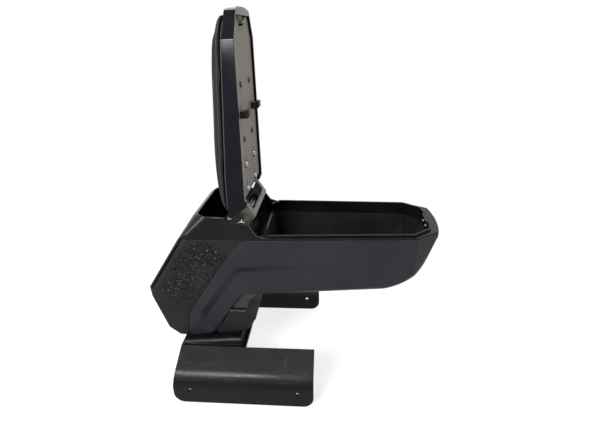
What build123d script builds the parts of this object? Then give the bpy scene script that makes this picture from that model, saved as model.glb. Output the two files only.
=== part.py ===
"""Car centre armrest: a padded lid over a storage bin, on an angled leg with a saddle base.

Millimetres. X points forward, from the leg to the nose, Y to the left and Z up. The origin lies
on the floor, in the middle of the armrest's length and width. The lid stands open.
"""

import os
from math import cos, radians, sin, tan

from build123d import *

os.makedirs("parts", exist_ok=True)


# Outline of the box, the rim and the lid, seen from above

half_width = 65.0          # at the hinge end
shoulder_half_width = 57.8  # where the front corners are cut off
corner_half_width = 38.5   # at the tips of the cut corners
nose_x = 182.5             # middle of the front edge
corner_x = 179.0
shoulder_x = 151.0
rim_rear_x = -29.0         # where the cowl's front edge meets the rim
corner_soft_r = 5.0        # soft turn of the cut corners
wall = 2.6                 # moulded outer shells
reach = 90.0               # half length of every cutter that goes right across

# Heights of the box

rim_z = 214.0              # ledge that the lid closes on
seam_z = 211.5             # joint between the top frame and the shells below it
crease_z = 177.0           # faint line along the side
upper_draft = 1.0
lower_draft = 3.0

# Side view of the box, the leg and the rear

box_floor_rear = (-63.3, 131.9)
box_floor_front = (115.0, 141.0)
nose_mid = (150.0, 158.0)
nose_low = (168.0, 182.0)
box_edge_r = 8.0          # long lower edges of the box
armpit_r = 14.0            # where the leg meets the box
leg_front_foot = (-103.1, 71.2)
leg_rear_foot = (-138.3, 67.6)
seam_knee = (-136.0, 99.0)
seam_bend = (-132.5, 107.1)
seam_shoulder = (-72.0, 195.5)
seam_turn = (-61.5, 204.8)
seam_top_x = -52.0
seam_gap = 0.6             # dark line between the body and the rear cover
tip = (-182.6, 140.8)
rear_foot = (-164.4, 80.0)
rear_foot_x = -150.6
foot_turn_r = 8.0
rear_crown_x = -129.7      # a point of the rear slope
rear_crown_z = 218.9
rear_bevel = 9.0           # bevel down the rear corners, seen from the side
rear_bevel_in = 5.0        # and seen from behind

# Step along the flank

flank_depth = 3.6
flank_front = (62.0, 184.0)
flank_line = [(-69.3, 175.4), (-121.5, 102.0), (-121.5, 82.0)]
flank_turn_r = 26.0
flank_slope = 68.0         # the step leans this far from square
flank_over = 0.4           # the step's cutter starts this far outside the skin
flank_low_z = 60.0         # the step runs out below the leg
flank_low_x = -104.0

# Cowl

cowl_draft = 2.0
cowl_space_height = 40.0
cowl_corner_low_r = 9.0     # rear corners at the seam
cowl_corner_top_r = 44.0    # and at the top of the cowl's space
basin_corner_r = 22.0
cowl_front_x = -62.0       # the corners' rounding ends in front of this
cowl_wall = 3.0
cheek_wall = 3.5           # beside the lid, above the rim
cowl_top = [(-121.4, 231.2), (-116.6, 236.2), (-109.0, 238.9), (-96.4, 240.2), (-81.7, 240.3),
            (-74.5, 239.4)]
cowl_step = [(-65.8, 233.8), (-48.4, 232.8), (-37.4, 216.8)]
cowl_floor_z = 200.0
cowl_floor = 3.0
cowl_back_x = -128.0       # rear wall of the basin under the lid's hinge end
basin_front_wall = 3.2     # between the basin and the bin
cowl_mouth_x = -111.5      # the basin's rear wall at the height of the cowl's crown
basin_half_width = 58.4

# Opening of the bin

opening_half_width = 59.0
opening_shoulder = 51.6
opening_corner = 34.0
opening_rear_x = -31.0
opening_nose_x = 171.3
opening_corner_x = 168.0
opening_shoulder_x = 148.0
lip_wall = 2.2
lip_z = 216.5
lip_rear_x = -25.0
hinge_gap_z = 206.0        # the bin's rear wall is lower where the hinge passes
hinge_gap_half = 52.0

# Storage bin

bin_wall = 1.8
bin_floor_z = 148.0
bin_nose = [(110.0, 148.0), (143.0, 161.5), (161.5, 180.5)]
bin_top_x = 171.4
bin_draft = 5.0
bin_overlap = 1.1          # of the bin's rim under the top frame

# Hinge

pivot_x = -58.0
pivot_z = 224.5
pin_r = 3.0
pin_play = 0.05
pin_head_r = 4.8
pin_head = 2.0
leaf_half = 46.0
leaf_t = 1.8
leaf_low = (11.0, -17.8)   # lower edge of the sloping frame, in the lid's axes
leaf_bend_u = 31.0
leaf_end_u = 82.0
leaf_bar = 4.5             # cross bar along the lower edge
leaf_window_over = 5.0     # the window goes this far past the bend
leaf_window_r = 3.0
base_ear_half = 43.4
base_ear_r = 7.0
ear_gap = 0.5
hinge_base_t = 2.0
hinge_base_length = 44.0
hinge_base_x = -77.0
hinge_screw_x = [-91.0, -75.0]
hinge_screw_y = 24.0
hinge_screw_length = 9.0
spring_r = 4.6             # middle of the coil's wire
spring_wire = 1.6
spring_turns = 9
spring_leg = 16.0

# Screws and bolts

screw_r = 2.0
screw_play = 0.15
screw_head_r = 3.8
screw_head = 2.2
screw_head_slope = 20.0
body_screw_length = 7.0
arm_screw_xz = [(-104.0, 100.0), (-72.0, 145.0)]
cover_screw_xz = [(-108.0, 180.0)]
bolt_r = 3.0
bolt_head_r = 5.6
bolt_head = 4.0
bolt_x = [-120.5, -109.0]
bolt_y = 34.0
nut_height = 5.0

# Lid, in its own axes: u along it from the pivot, w out of its padded side

lid_face_w = -9.5          # the face that closes on the rim
lid_rear_low_u = 28.5
lid_rear_top = (14.4, 10.6)
lid_top = [(60.0, 10.6), (213.0, 3.6)]
lid_nose_w = 2.6
lid_deck = 2.2
lid_rim = 3.2
lid_draft = 2.0
lid_gap = 0.6              # between the box's lip and the lid's rim
plate_t = 1.6
plate_w = -6.5
plate_rear_u = 33.0
plate_nose_u = 231.0
plate_gap = 0.3
plate_screw_u = [100.3, 161.9]
leaf_screw_u = [39.1, 69.0]
lid_screw_y = 26.0
boss_r = 4.0
leaf_screw_length = 11.0
plate_screw_length = 8.5
leaf_arm = 8.0
leaf_tab_half = 38.0
keyhole_rise = 7.0         # of the slots above the leaf's screws
keyhole_length = 6.4
keyhole_width = 3.4
slot_depth = 4.0           # of the nose slot in the plate
slot_gap = 0.4
slot_half = 22.0
slit_length = 9.0
slit_width = 0.8

# Pad

pad_inset = 3.0
pad_board_inset = 6.0
pad_board_t = 2.4
pad_gap = 0.3
pad_back = [(23.0, 14.2), (26.5, 17.4), (35.0, 20.4), (52.0, 22.8)]
pad_crown = [(80.0, 23.8), (140.0, 21.0), (188.0, 18.2)]
pad_front = [(211.0, 15.8), (224.0, 13.6), (231.0, 10.8), (234.2, 6.6)]
pad_board_rear_u = 24.0
pad_board_nose_u = 226.0

# Latch

latch_tab_half = 12.0
latch_low_w = -10.8
latch_flange_t = 1.2
latch_tab_low_w = -6.2
latch_tab_t = 1.3
latch_catch = 1.3          # of the flange under the strike's hook
latch_clear = 0.4          # between the latch's neck and the hook
latch_neck_t = 1.8
latch_travel = 2.0
latch_proud = 0.4          # of the tab in front of the lid's nose
latch_play = 0.25
strike_half = 14.0
strike_t = 1.4
strike_low_z = 203.5
strike_top_z = 216.2
strike_reach = 3.1
strike_hook_t = 1.0
strike_screw_y = 8.0
strike_screw_z = 208.5
strike_screw_r = 1.25
strike_screw_head_r = 2.4
strike_screw_length = 3.4
seat_reach = 3.0

# Clips on the lid's inner plate

clip_u = 131.0
clip_y = 34.0
clip_reach = 11.0
clip_length = 9.6
clip_width = 12.0
clip_corner = 2.4          # bevel on the side towards the hinge
clip_groove = 2.0          # of the hook, on the side towards the nose

# Saddle base

wing_half = 110.0
wing_wall = 4.0
wing_bend_z = 37.0
wing_bend_r = 26.0
shoulder_y = 76.0
shoulder_z = 63.5
wing_front_x = 30.0
wing_rear = [(-150.3, 24.0), (-148.3, 38.0), (-144.8, 64.0), (-140.0, 80.0)]
wing_foot_r = 14.0         # lower corners
bridge_front_x = -59.0
plinth_rear_x = -143.0
plinth_front_x = -64.5
plinth_half = 72.0
plinth_rear_z = 66.8
plinth_front_z = 73.8
plinth_edge_r = 5.0
wing_hole_r = 2.6
wing_hole_x = [-128.8, 9.4]
wing_hole_z = 19.5

# Leg core and foot block

core_half = 52.0
core_wall = 3.5
core_rear_x = -131.0
core_proud = 1.0           # of the leg shells' front edge
core_front = [(-80.6, 106.9), (-58.6, 107.3), (-56.4, 118.3), (-41.5, 131.2)]
core_neck_x = -59.5
core_top = [(-66.0, 197.0), (-118.0, 197.0), (-124.0, 150.0), (-131.0, 100.0)]
foot_half = 56.4
foot_wall = 3.0
foot_nose = [(-66.0, 73.7), (-57.0, 78.0), (-47.3, 93.1), (-59.4, 106.6)]
foot_bevel = 1.6

# Lengths that follow from the ones above

behind_x = tip[0] - 10.0
lid_end_u = nose_x - pivot_x + 1.0
slot_u = plate_nose_u - slot_depth
strike_hook_x = opening_nose_x - strike_reach
latch_neck_u = strike_hook_x - pivot_x - latch_clear
latch_hook_u = strike_hook_x - pivot_x + latch_catch
latch_rear_u = latch_neck_u - latch_neck_t
leaf_window_low_u = leaf_low[0] + leaf_bar
leaf_window_top_u = leaf_bend_u + leaf_window_over
cowl_space_top_z = seam_z + cowl_space_height

lid_plan = Plane(origin=(pivot_x, 0, pivot_z), x_dir=(0, 0, 1), z_dir=(-1, 0, 0))
lid_side = Plane(origin=(pivot_x, 0, pivot_z), x_dir=(0, 0, 1), z_dir=(0, -1, 0))


def deck_w(u):
    """The lid's top, at a distance from the pivot."""
    line = [(0.0, lid_top[0][1]), *lid_top, (lid_end_u, lid_nose_w)]
    for near, far in zip(line, line[1:]):
        if u <= far[0]:
            return near[1] + (far[1] - near[1]) * (u - near[0]) / (far[0] - near[0])
    return lid_nose_w


def plan(plane, shift=0.0, inset=0.0):
    """Outline of the armrest seen from above, on a plane whose x starts at shift."""
    with BuildSketch(plane) as sketch:
        with BuildLine():
            Polyline(
                (corner_x - shift, corner_half_width),
                (shoulder_x - shift, shoulder_half_width),
                (rim_rear_x - shift, half_width),
                (behind_x - shift, half_width),
                (behind_x - shift, -half_width),
                (rim_rear_x - shift, -half_width),
                (shoulder_x - shift, -shoulder_half_width),
                (corner_x - shift, -corner_half_width),
            )
            ThreePointArc(
                (corner_x - shift, -corner_half_width),
                (nose_x - shift, 0),
                (corner_x - shift, corner_half_width),
            )
        make_face()
        fillet(vertices().sort_by(Axis.X)[-4:], corner_soft_r)
        if inset:
            offset(amount=-inset, kind=Kind.INTERSECTION, mode=Mode.REPLACE)
    return sketch.sketch


def opening(plane, shift=0.0, grow=0.0):
    """Outline of the bin's opening seen from above."""
    with BuildSketch(plane) as sketch:
        with BuildLine():
            Polyline(
                (opening_corner_x - shift, opening_corner),
                (opening_shoulder_x - shift, opening_shoulder),
                (opening_rear_x - shift, opening_half_width),
                (opening_rear_x - shift, -opening_half_width),
                (opening_shoulder_x - shift, -opening_shoulder),
                (opening_corner_x - shift, -opening_corner),
            )
            ThreePointArc(
                (opening_corner_x - shift, -opening_corner),
                (opening_nose_x - shift, 0),
                (opening_corner_x - shift, opening_corner),
            )
        make_face()
        fillet(vertices().sort_by(Axis.X)[-4:], corner_soft_r)
        if grow:
            offset(amount=grow, kind=Kind.INTERSECTION, mode=Mode.REPLACE)
    return sketch.sketch


def region(plane, points):
    """A closed polygon on a plane."""
    with BuildSketch(plane) as sketch:
        with BuildLine():
            Polyline(*points, close=True)
        make_face()
    return sketch.sketch


def narrowing():
    """How much each side draws in between the rim and the crease."""
    return (rim_z - crease_z) * tan(radians(upper_draft))


def envelope(inset=0.0):
    """The space inside the shells' outer skin, drawn in by inset."""
    with BuildPart() as block:
        extrude(to_extrude=plan(Plane.XY.offset(rim_z), inset=inset), amount=crease_z - rim_z,
                taper=upper_draft)
        extrude(to_extrude=plan(Plane.XY.offset(crease_z), inset=inset + narrowing()),
                amount=low_z - crease_z, taper=lower_draft)
    return block.part


def flank_plan(plane, inset):
    """Outline between the two flanks' lower panels, which run out towards the front."""
    run_out = half_width - (flank_front[0] - rim_rear_x) * side_lean
    far = nose_x + 20.0
    points = [
        (behind_x, half_width - flank_depth),
        (flank_line[0][0], half_width - flank_depth),
        (flank_front[0], run_out + flank_over),
        (far, run_out + flank_over),
    ]
    mirrored = [(x, -y) for x, y in reversed(points)]
    with BuildSketch(plane) as sketch:
        with BuildLine():
            Polyline(*points, *mirrored, close=True)
        make_face()
        if inset:
            offset(amount=-inset, kind=Kind.INTERSECTION, mode=Mode.REPLACE)
    return sketch.sketch


def flank_core(inset=0.0):
    """The space between the lower panels, with the same draft as the sides."""
    with BuildPart() as block:
        extrude(to_extrude=flank_plan(Plane.XY.offset(rim_z), inset), amount=crease_z - rim_z,
                taper=upper_draft)
        extrude(to_extrude=flank_plan(Plane.XY.offset(crease_z), inset + narrowing()),
                amount=low_z - crease_z, taper=lower_draft)
    return block.part


def flank_region(plane, grow=0.0):
    """The lower panel of a flank, seen from the side."""
    with BuildSketch(plane) as sketch:
        with BuildLine():
            FilletPolyline(flank_front, *flank_line, (flank_low_x, flank_low_z), radius=flank_turn_r)
            Polyline((flank_low_x, flank_low_z), (flank_front[0] + 30, flank_low_z), flank_front)
        make_face()
        if grow:
            offset(amount=grow, kind=Kind.INTERSECTION, mode=Mode.REPLACE)
    return sketch.sketch


def nose_line(inward):
    """The box's front, seen from the side, from its floor up to the rim."""
    ThreePointArc(
        (box_floor_front[0] - inward, box_floor_front[1] + inward),
        (nose_mid[0] - 0.75 * inward, nose_mid[1] + 0.75 * inward),
        (nose_low[0] - inward, nose_low[1] + 0.4 * inward),
    )
    Line(
        (nose_low[0] - inward, nose_low[1] + 0.4 * inward),
        (nose_x + 0.8 - inward, rim_z + 0.4 * inward),
    )


def floor_z(x):
    """Height of the box's underside."""
    return box_floor_rear[1] + floor_slope * (x - box_floor_rear[0])


def plinth_z(x):
    """Height of the plinth's top, which rises a little towards the front."""
    return plinth_rear_z + plinth_slope * (x - plinth_rear_x)


def leg_edge_x(z):
    """The side shells' front edge on the leg."""
    lean = (box_floor_rear[0] - leg_front_foot[0]) / (box_floor_rear[1] - leg_front_foot[1])
    return leg_front_foot[0] + lean * (z - leg_front_foot[1])


side_lean = (half_width - shoulder_half_width) / (shoulder_x - rim_rear_x)
floor_slope = (box_floor_front[1] - box_floor_rear[1]) / (box_floor_front[0] - box_floor_rear[0])
plinth_slope = (plinth_front_z - plinth_rear_z) / (plinth_front_x - plinth_rear_x)
low_z = 50.0


# Planes that the screws start from, each facing into the work

def round_bars(places, radius, length):
    """Round bars that start on the given planes, for shanks, bosses and holes."""
    with BuildPart() as bars:
        for place in places:
            with BuildSketch(place):
                Circle(radius)
            extrude(amount=length)
    return bars.part


def side_places(points, y):
    """Planes on both sides of the leg core that face outwards."""
    return [
        Plane(origin=(x, side * y, z), x_dir=(1, 0, 0), z_dir=(0, side, 0))
        for x, z in points for side in (1, -1)
    ]


def lid_places(stations, w):
    """Planes on the lid that face its padded side."""
    return [
        Plane(origin=(pivot_x - w, side * lid_screw_y, pivot_z + u), x_dir=(0, 1, 0),
              z_dir=(-1, 0, 0))
        for u in stations for side in (1, -1)
    ]


hinge_screw_places = [
    Plane(origin=(x, side * hinge_screw_y, cowl_floor_z + hinge_base_t), x_dir=(1, 0, 0),
          z_dir=(0, 0, -1))
    for x in hinge_screw_x for side in (1, -1)
]
strike_screw_places = [
    Plane(origin=(opening_nose_x - strike_t, side * strike_screw_y, strike_screw_z),
          x_dir=(0, 1, 0), z_dir=(1, 0, 0))
    for side in (1, -1)
]
bolt_places = [
    Plane(origin=(x, side * bolt_y, plinth_z(x) - wing_wall), x_dir=(1, 0, plinth_slope),
          z_dir=(-plinth_slope, 0, 1))
    for x in bolt_x for side in (1, -1)
]
core_inner_half = core_half - core_wall
bolt_length = wing_wall + core_wall + nut_height + 1.5


def along_the_bottom(point):
    """Whether an edge's middle lies on the long lower edges of the leg, the box and the nose."""
    if abs(point.Y) < corner_half_width + 1.5:
        return False
    chin_z = nose_mid[1] - 8
    low = leg_front_foot[0] + 3 < point.X < nose_mid[0] - 10 and point.Z < chin_z
    front = point.X > box_floor_front[0] + 5 and chin_z < point.Z < crease_z - 2
    upright = point.X < shoulder_x + 1 and abs(point.Y) > shoulder_half_width - 1.3
    return low or (front and not upright)


# Arm body: both flanks, the floor and the nose in one moulding

with BuildPart() as body_cavity:
    with BuildSketch(Plane.XZ):
        with BuildLine():
            nose_line(wall)
            Polyline(
                (nose_x + 0.8 - wall, rim_z + 0.4 * wall),
                (nose_x + 0.8 - wall, rim_z + 10),
                (behind_x, rim_z + 10),
                (behind_x, low_z),
                (leg_front_foot[0] + 30, low_z),
                (core_neck_x + 2, floor_z(core_neck_x) - 4),
                (core_neck_x + 2, floor_z(core_neck_x + 2) + wall),
                (box_floor_front[0] - wall, box_floor_front[1] + wall),
            )
        make_face()
    extrude(amount=reach, both=True)
    add(envelope(wall), mode=Mode.INTERSECT)

with BuildPart() as step_cavity:
    extrude(to_extrude=flank_region(Plane.XZ, wall + 1.0), amount=reach, both=True)
    add(flank_core(wall), mode=Mode.SUBTRACT)

with BuildPart() as arm_room:
    add(body_cavity.part)
    add(step_cavity.part, mode=Mode.SUBTRACT)

# The left flank below its crease, as a plane that leans with the draft and faces inwards
lean = radians(lower_draft)
left_skin = Plane(
    origin=(0, half_width - narrowing() + flank_over - crease_z * sin(lean),
            crease_z * (1 - cos(lean))),
    x_dir=(1, 0, 0), z_dir=(0, -cos(lean), sin(lean)),
)

with BuildPart() as flank_step:
    extrude(to_extrude=flank_region(left_skin), amount=flank_depth + 2 * flank_over,
            taper=flank_slope)
    add(flank_core(), mode=Mode.SUBTRACT)

with BuildPart() as arm_bosses:
    add(round_bars(side_places(arm_screw_xz, core_half), boss_r, 20))
    add(envelope(wall / 2), mode=Mode.INTERSECT)
    add(flank_core(wall / 2), mode=Mode.INTERSECT)

with BuildPart() as arm_body:
    with BuildSketch(Plane.XZ):
        with BuildLine():
            seam = [
                (x + seam_gap, z) for x, z in [
                    (seam_top_x, rim_z), (seam_top_x, seam_z), seam_turn, seam_shoulder,
                    seam_bend, seam_knee, leg_rear_foot,
                ]
            ]
            Line(*seam[:2])
            ThreePointArc(*seam[1:4])
            Polyline(*seam[3:], leg_front_foot)
            FilletPolyline(leg_front_foot, box_floor_rear, box_floor_front, radius=armpit_r)
            nose_line(0)
            Line((nose_x + 0.8, rim_z), seam[0])
        make_face()
    extrude(amount=reach, both=True)
    add(envelope(), mode=Mode.INTERSECT)
    fillet([edge for edge in arm_body.edges() if along_the_bottom(edge.center())], box_edge_r)
    add(flank_step.part, mode=Mode.SUBTRACT)
    add(arm_room.part, mode=Mode.SUBTRACT)
    add(arm_bosses.part)
    add(round_bars(side_places(arm_screw_xz, core_half), screw_r, body_screw_length - core_wall),
        mode=Mode.SUBTRACT)
    split(bisect_by=Plane.XY.offset(seam_z), keep=Keep.BOTTOM)
    # The right side is made as an exact mirror image of the left one
    split(bisect_by=Plane.XZ, keep=Keep.BOTTOM)
    mirror(about=Plane.XZ)
arm_body.part.label = "arm_body"
export_step(arm_body.part, "parts/arm_body.step")


# Rear cover: the embossed shell that wraps the back of the leg

rear_run = (rear_crown_z - tip[1]) / (rear_crown_x - tip[0])


def rear_slope_x(z):
    """Where the long rear slope lies at a height."""
    return tip[0] + (z - tip[1]) / rear_run


def rear_corners(shell):
    """The long edges where a shell's sides meet its sloping back."""
    return [
        edge for edge in shell.edges()
        if abs(edge.center().Y) > 50 and edge.length > 20
        and edge.center().X < rear_slope_x(edge.center().Z) + 20
    ]


with BuildPart() as rear_cavity:
    extrude(
        to_extrude=region(Plane.XZ, [
            (rear_slope_x(rim_z) + 1.25 * wall, rim_z),
            (tip[0] + 1.25 * wall, tip[1]),
            (rear_foot[0] + wall, rear_foot[1]),
            (rear_foot_x + wall, leg_rear_foot[1] + wall),
            (leg_rear_foot[0] + 40, leg_rear_foot[1] + wall),
            (leg_rear_foot[0] + 40, low_z),
            (seam_top_x + 30, low_z),
            (seam_top_x + 30, rim_z),
        ]),
        amount=reach, both=True,
    )
    add(envelope(wall), mode=Mode.INTERSECT)

with BuildPart() as cover_bosses:
    add(round_bars(side_places(cover_screw_xz, core_half), boss_r, 20))
    add(envelope(wall / 2), mode=Mode.INTERSECT)

with BuildPart() as rear_cover:
    with BuildSketch(Plane.XZ):
        with BuildLine():
            Line((seam_top_x, rim_z), (seam_top_x, seam_z))
            ThreePointArc((seam_top_x, seam_z), seam_turn, seam_shoulder)
            Polyline(seam_shoulder, seam_bend, seam_knee, leg_rear_foot)
            Line(leg_rear_foot, (rear_foot_x, leg_rear_foot[1]))
            Line((rear_foot_x, leg_rear_foot[1]), rear_foot)
            Line(rear_foot, tip)
            Line(tip, (rear_slope_x(rim_z), rim_z))
            Line((rear_slope_x(rim_z), rim_z), (seam_top_x, rim_z))
        make_face()
        fillet(vertices().group_by(Axis.Y)[0].sort_by(Axis.X)[0], foot_turn_r)
    extrude(amount=reach, both=True)
    add(envelope(), mode=Mode.INTERSECT)
    chamfer(rear_corners(rear_cover), rear_bevel, rear_bevel_in)
    add(rear_cavity.part, mode=Mode.SUBTRACT)
    add(cover_bosses.part)
    add(round_bars(side_places(cover_screw_xz, core_half), screw_r, body_screw_length - core_wall),
        mode=Mode.SUBTRACT)
    split(bisect_by=Plane.XY.offset(seam_z), keep=Keep.BOTTOM)
rear_cover.part.label = "rear_cover"
export_step(rear_cover.part, "parts/rear_cover.step")


# Top frame: the glossy cowl round the hinge and the rim of the box, in one moulding

def cowl_rounding():
    """The space inside the cowl's rear corners, which grow rounder towards the top."""
    with BuildPart() as space:
        for z, corner in (
            (seam_z, cowl_corner_low_r), (cowl_space_top_z, cowl_corner_top_r),
        ):
            rear = rear_slope_x(z)
            with BuildSketch(Plane.XY.offset(z)):
                with Locations(((rear + cowl_front_x) / 2, 0)):
                    Rectangle(cowl_front_x - rear, 2 * half_width)
                fillet(vertices().group_by(Axis.X)[0], corner)
        loft()
        with Locations(((cowl_front_x + nose_x + 1) / 2, 0, seam_z + cowl_space_height / 2)):
            Box(nose_x + 1 - cowl_front_x, 2 * half_width, cowl_space_height)
    return space.part


def basin_back_x(z):
    """Where the basin's rear wall lies at a height."""
    low_x = cowl_back_x + cowl_wall
    return low_x + (cowl_mouth_x - low_x) * (z - cowl_floor_z) / (cowl_top[3][1] - cowl_floor_z)


def basin_cut(points, half):
    """The room behind the lid, with round rear corners."""
    with BuildPart() as cut:
        extrude(to_extrude=region(Plane.XZ, points), amount=half, both=True)
        fillet([
            edge for edge in cut.edges()
            if abs(edge.center().Y) > half - 1 and edge.length > 5
            and edge.center().X < cowl_mouth_x + 10 and abs((edge @ 0).Z - (edge @ 1).Z) > 5
        ], basin_corner_r)
    return cut.part


with BuildPart() as cowl_space:
    extrude(to_extrude=plan(Plane.XY.offset(seam_z)), amount=cowl_space_height, taper=cowl_draft)
    extrude(
        to_extrude=region(Plane.XZ, [
            (rear_slope_x(seam_z), seam_z),
            (rear_slope_x(cowl_space_top_z), cowl_space_top_z),
            (nose_x + 1, cowl_space_top_z),
            (nose_x + 1, seam_z),
        ]),
        amount=reach, both=True, mode=Mode.INTERSECT,
    )
    chamfer(rear_corners(cowl_space), rear_bevel, rear_bevel_in)
    add(cowl_rounding(), mode=Mode.INTERSECT)

with BuildPart() as top_frame:
    with BuildSketch(Plane.XZ):
        with BuildLine():
            Polyline(
                (nose_x + 1, seam_z),
                (rear_slope_x(seam_z), seam_z),
                cowl_top[0],
            )
            Spline(*cowl_top)
            Polyline(cowl_top[-1], *cowl_step, (rim_rear_x, rim_z), (nose_x + 1, rim_z),
                     (nose_x + 1, seam_z))
        make_face()
    extrude(amount=reach, both=True)
    add(cowl_space.part, mode=Mode.INTERSECT)
    # The basin behind the lid, with a floor that carries the hinge
    extrude(
        to_extrude=region(Plane.XZ, [
            (cowl_back_x, cowl_floor_z - cowl_floor),
            (opening_rear_x - lip_wall, cowl_floor_z - cowl_floor),
            (opening_rear_x - lip_wall, cowl_floor_z),
            (opening_rear_x, cowl_floor_z),
            (opening_rear_x, seam_z + 1),
            (cowl_back_x, seam_z + 1),
        ]),
        amount=basin_half_width + cowl_wall, both=True,
    )
    extrude(to_extrude=opening(Plane.XY.offset(cowl_floor_z), grow=lip_wall),
            amount=lip_z - cowl_floor_z)
    for low, front, half in [
        (cowl_floor_z, opening_rear_x - basin_front_wall, basin_half_width),
        (rim_z, lip_rear_x, half_width - cheek_wall),
    ]:
        add(basin_cut([
            (basin_back_x(low), low),
            (front, low),
            (front, cowl_space_top_z),
            (basin_back_x(cowl_space_top_z), cowl_space_top_z),
        ], half), mode=Mode.SUBTRACT)
    extrude(to_extrude=opening(Plane.XY.offset(cowl_floor_z - 10)), amount=60, mode=Mode.SUBTRACT)
    extrude(
        to_extrude=region(Plane.XZ, [
            (opening_rear_x - basin_front_wall - 1, hinge_gap_z),
            (opening_rear_x + 1, hinge_gap_z),
            (opening_rear_x + 1, rim_z + 5),
            (opening_rear_x - basin_front_wall - 1, rim_z + 5),
        ]),
        amount=hinge_gap_half, both=True, mode=Mode.SUBTRACT,
    )
    # Flat seat of the latch strike, with holes for its screws
    with Locations((opening_nose_x - seat_reach / 2, 0, (strike_low_z + lip_z) / 2)):
        Box(seat_reach, 2 * (strike_half + 0.2), lip_z - strike_low_z, mode=Mode.SUBTRACT)
    add(round_bars(strike_screw_places, strike_screw_r, strike_screw_length), mode=Mode.SUBTRACT)
    add(round_bars(hinge_screw_places, screw_r, hinge_screw_length), mode=Mode.SUBTRACT)
top_frame.part.label = "top_frame"
export_step(top_frame.part, "parts/top_frame.step")


# Storage bin, which hangs from the top frame

def bin_block(inset, top):
    """The bin's outer form, or with an inset the room inside it, up to a given height."""
    lean = [(0.2, 1.0), (0.55, 0.84), (0.88, 0.47)]
    nose = [(x - a * inset, z + b * inset) for (x, z), (a, b) in zip(bin_nose, lean)]
    end_x = bin_top_x - 1.12 * inset
    rear = opening_rear_x - lip_wall
    with BuildPart() as block:
        with BuildSketch(Plane.XZ):
            with BuildLine():
                Polyline((rear, top), (rear, bin_floor_z + inset), nose[0])
                ThreePointArc(*nose)
                Polyline(nose[2], (end_x, cowl_floor_z), (end_x, top + 0.01), (rear, top))
            make_face()
        extrude(amount=reach, both=True)
        add(extrude(to_extrude=opening(Plane.XY.offset(cowl_floor_z), grow=bin_overlap - inset),
                    amount=-80, taper=bin_draft, mode=Mode.PRIVATE), mode=Mode.INTERSECT)
    return block.part


with BuildPart() as storage_bin:
    add(bin_block(0.0, cowl_floor_z))
    add(bin_block(bin_wall, cowl_floor_z + 1), mode=Mode.SUBTRACT)
storage_bin.part.label = "storage_bin"
export_step(storage_bin.part, "parts/storage_bin.step")


# Saddle base: two wings that hug the car's console, the bridge and the plinth in one moulding

def wing_section(inset):
    """The saddle's cross-section seen from the front, drawn in from the outside by inset."""
    side = wing_half - inset
    with BuildSketch(Plane.YZ) as sketch:
        with BuildLine():
            FilletPolyline(
                (-side, -1 if inset else 0),
                (-side, wing_bend_z - 0.35 * inset),
                (-shoulder_y + 0.2 * inset, shoulder_z - inset),
                (shoulder_y - 0.2 * inset, shoulder_z - inset),
                (side, wing_bend_z - 0.35 * inset),
                (side, -1 if inset else 0),
                radius=[wing_bend_r - inset, 2, 2, wing_bend_r - inset],
            )
            Line((side, -1 if inset else 0), (-side, -1 if inset else 0))
        make_face()
    return sketch.sketch


with BuildPart() as plinth_space:
    extrude(
        to_extrude=region(Plane.XZ, [
            (plinth_rear_x, shoulder_z - 12),
            (plinth_front_x, shoulder_z - 12),
            (plinth_front_x, plinth_front_z),
            (plinth_rear_x, plinth_rear_z),
        ]),
        amount=plinth_half, both=True,
    )
    fillet(plinth_space.edges().group_by(Axis.Z)[-1] + plinth_space.edges().group_by(Axis.Z)[-2],
           plinth_edge_r)

with BuildPart() as saddle_base:
    extrude(to_extrude=wing_section(0), amount=reach * 2, both=True)
    add(plinth_space.part)
    with BuildSketch(Plane.XZ):
        with BuildLine():
            Polyline(
                (wing_rear[0][0], 0), *wing_rear, (plinth_rear_x + 1, plinth_rear_z + 20),
                (wing_front_x, plinth_rear_z + 20), (wing_front_x, 0), close=True,
            )
        make_face()
        fillet(vertices().group_by(Axis.Y)[0], wing_foot_r)
    extrude(amount=reach * 2, both=True, mode=Mode.INTERSECT)
    extrude(to_extrude=wing_section(wing_wall), amount=reach * 2, both=True, mode=Mode.SUBTRACT)
    with BuildSketch(Plane.XZ):
        with BuildLine():
            Polyline(
                (plinth_rear_x + wing_wall, shoulder_z - wing_wall - 9),
                (plinth_front_x - wing_wall, shoulder_z - wing_wall - 9),
                (plinth_front_x - wing_wall, plinth_z(plinth_front_x - wing_wall) - wing_wall),
                (plinth_rear_x + wing_wall, plinth_z(plinth_rear_x + wing_wall) - wing_wall),
                close=True,
            )
        make_face()
    extrude(amount=plinth_half - wing_wall, both=True, mode=Mode.SUBTRACT)
    with Locations(((bridge_front_x + wing_front_x) / 2 + 5, 0, shoulder_z)):
        Box(wing_front_x - bridge_front_x + 10, 2 * shoulder_y, 2 * wing_wall + 8,
            mode=Mode.SUBTRACT)
    with Locations(*[Location((x, 0, wing_hole_z), (90, 0, 0)) for x in wing_hole_x]):
        Cylinder(wing_hole_r, 3 * wing_half, mode=Mode.SUBTRACT)
    add(round_bars(bolt_places, bolt_r, bolt_length), mode=Mode.SUBTRACT)
saddle_base.part.label = "saddle_base"
export_step(saddle_base.part, "parts/saddle_base.step")


# Leg core: the hollow column inside the leg, and the foot block in front of it

core_toe_x = leg_edge_x(plinth_front_z) + core_proud

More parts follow.
